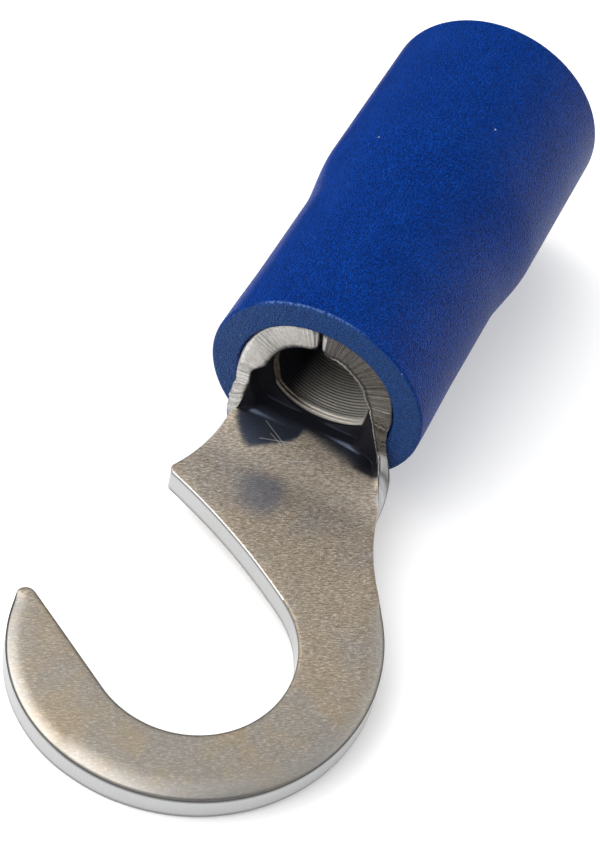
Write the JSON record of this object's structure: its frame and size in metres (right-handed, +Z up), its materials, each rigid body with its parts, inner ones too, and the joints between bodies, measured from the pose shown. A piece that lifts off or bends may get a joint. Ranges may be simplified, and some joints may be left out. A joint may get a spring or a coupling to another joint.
{
  "type": "hook terminal",
  "caption": "Insulated crimp hook terminal: a flat open hook that slips under a screw, rolled into a wire barrel held in a blue insulating sleeve",
  "frame": {"origin": "centre of the hook's eye, on the underside of the tongue", "axes": "+X along the barrel from the hook to the wire entry, +Y to the side where the hook opens, +Z up, out of the tongue's top face"},
  "size_m": [0.0201, 0.0074, 0.0054],
  "materials": {
    "tinned_copper": "satin tin plate with sheared edges",
    "blue_sleeve": "semi-gloss with a fine grain"
  },
  "bodies": {
    "root": {"terminal_body": "tinned_copper", "insulating_sleeve": "blue_sleeve"}
  },
  "joints": []
}
